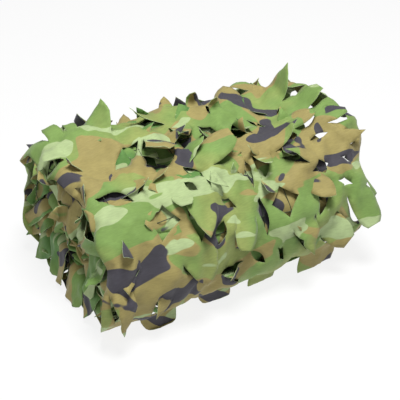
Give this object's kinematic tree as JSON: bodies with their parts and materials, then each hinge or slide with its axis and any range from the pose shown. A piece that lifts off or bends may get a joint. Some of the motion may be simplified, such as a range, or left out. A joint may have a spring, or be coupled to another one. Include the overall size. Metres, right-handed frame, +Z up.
{
  "type": "rolled camouflage net",
  "caption": "Camouflage net of printed cloth cut into leaf-shaped tongues on a string mesh, wound into a loose roll that lies on its side.",
  "frame": {"origin": "on the surface that the roll lies on, under the middle of its length and of its flat underside", "axes": "+X along the roll towards its open sleeve end, +Z up, and -Y towards the side with the three-quarter view"},
  "size_m": [0.4498, 0.3186, 0.2529],
  "materials": {
    "garnish_cloth": null,
    "string_net": "matt dark green twine"
  },
  "bodies": {
    "root": {"garnish_cloth": "garnish_cloth", "string_net": "string_net"}
  },
  "joints": []
}
